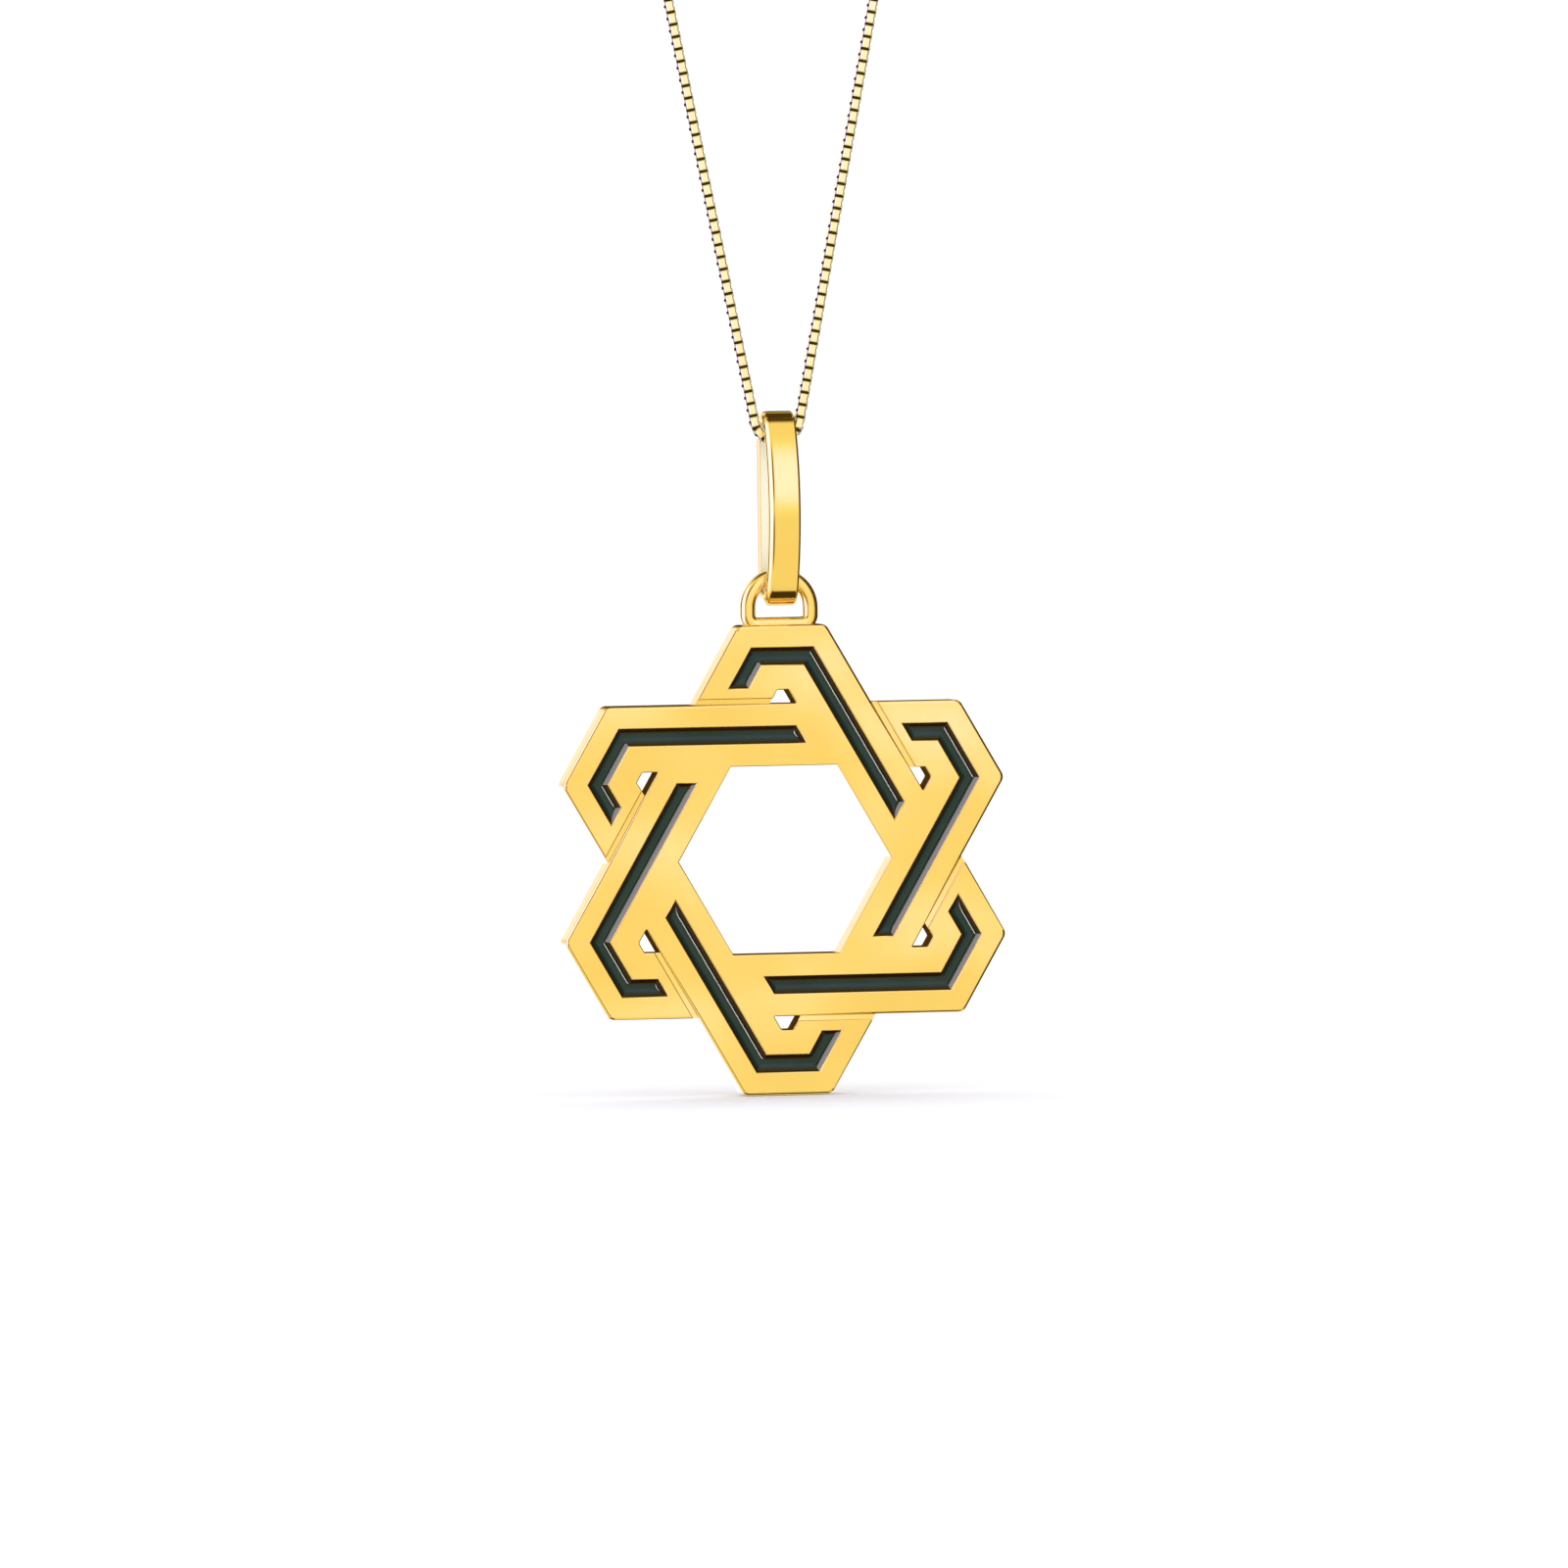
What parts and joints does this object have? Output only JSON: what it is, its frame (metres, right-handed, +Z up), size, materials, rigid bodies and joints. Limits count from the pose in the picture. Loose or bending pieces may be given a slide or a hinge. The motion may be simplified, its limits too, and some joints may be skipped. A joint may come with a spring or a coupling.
{
  "type": "enamel star pendant on a chain",
  "caption": "Interlaced star pendant with dark enamel lines, a soldered loop and a D-shaped bail, hanging on a fine box chain closed by a round clasp.",
  "frame": {"origin": "middle of the chain's round top, at the clasp's centre, where the necklace lies on the back of the neck or hangs on a peg", "axes": "+Z up, the star's enamelled face looks along -Y, +X to the right of someone facing it"},
  "size_m": [0.0668, 0.0034, 0.2341],
  "materials": {
    "gold": "satin face, polished edges",
    "bail_gold": "polished",
    "chain_gold": "polished",
    "enamel": "glossy"
  },
  "bodies": {
    "necklace": {"chain": "chain_gold", "clasp": "bail_gold", "clasp_ring": "bail_gold", "end_ring": "bail_gold"},
    "bail": {"bail": "bail_gold"},
    "star": {"star_frame": "gold", "enamel_1": "enamel", "enamel_2": "enamel", "enamel_3": "enamel", "enamel_4": "enamel", "enamel_5": "enamel", "enamel_6": "enamel"}
  },
  "joints": [
    {"name": "bail_swing", "type": "hinge", "parent": "necklace", "child": "bail", "pos_m": [0, 0, -0.20236], "axis": [1, 0, 0], "range_deg": [-90, 90]},
    {"name": "star_swing", "type": "hinge", "parent": "bail", "child": "star", "pos_m": [0, 0, -0.2084], "axis": [1, 0, 0], "range_deg": [-90, 90]}
  ]
}
